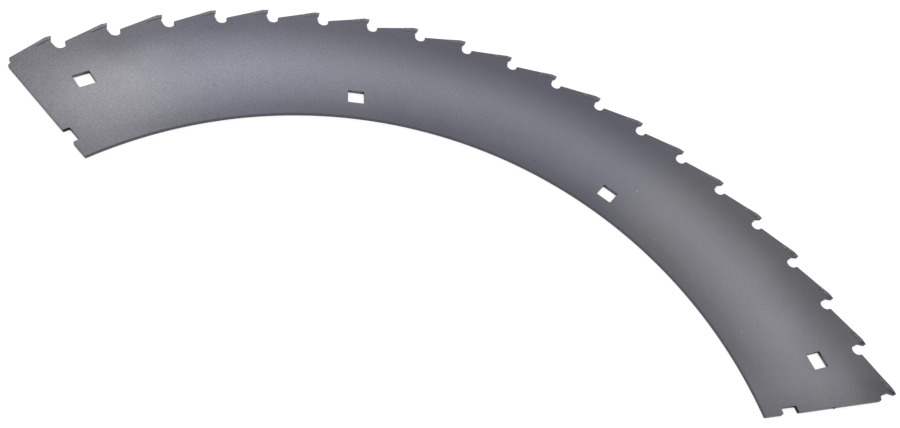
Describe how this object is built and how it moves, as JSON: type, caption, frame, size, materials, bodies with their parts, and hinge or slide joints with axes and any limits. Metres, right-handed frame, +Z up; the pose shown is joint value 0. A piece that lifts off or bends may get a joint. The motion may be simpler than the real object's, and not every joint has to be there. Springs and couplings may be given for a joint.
{
  "type": "forage harvester knife segment",
  "caption": "Arc-shaped flat steel knife plate with hooked, hard-faced teeth along its outer edge and square bolt holes, one third of a toothed cutting disc.",
  "frame": {"origin": "on the underside of the plate, in the middle of the segment on the circle of the inner bolts, 315 mm out from the centre of the cutting disc that three segments make", "axes": "+Z up through the plate, +Y from the disc centre outwards along the middle of the segment, +X across it towards the end that the teeth point to"},
  "size_m": [0.7002, 0.2641, 0.0035],
  "materials": {
    "hardened_steel": "dark grey hardened sheet steel, satin, with a fine rolled and peened grain"
  },
  "bodies": {
    "root": {"knife_segment": "hardened_steel"}
  },
  "joints": []
}
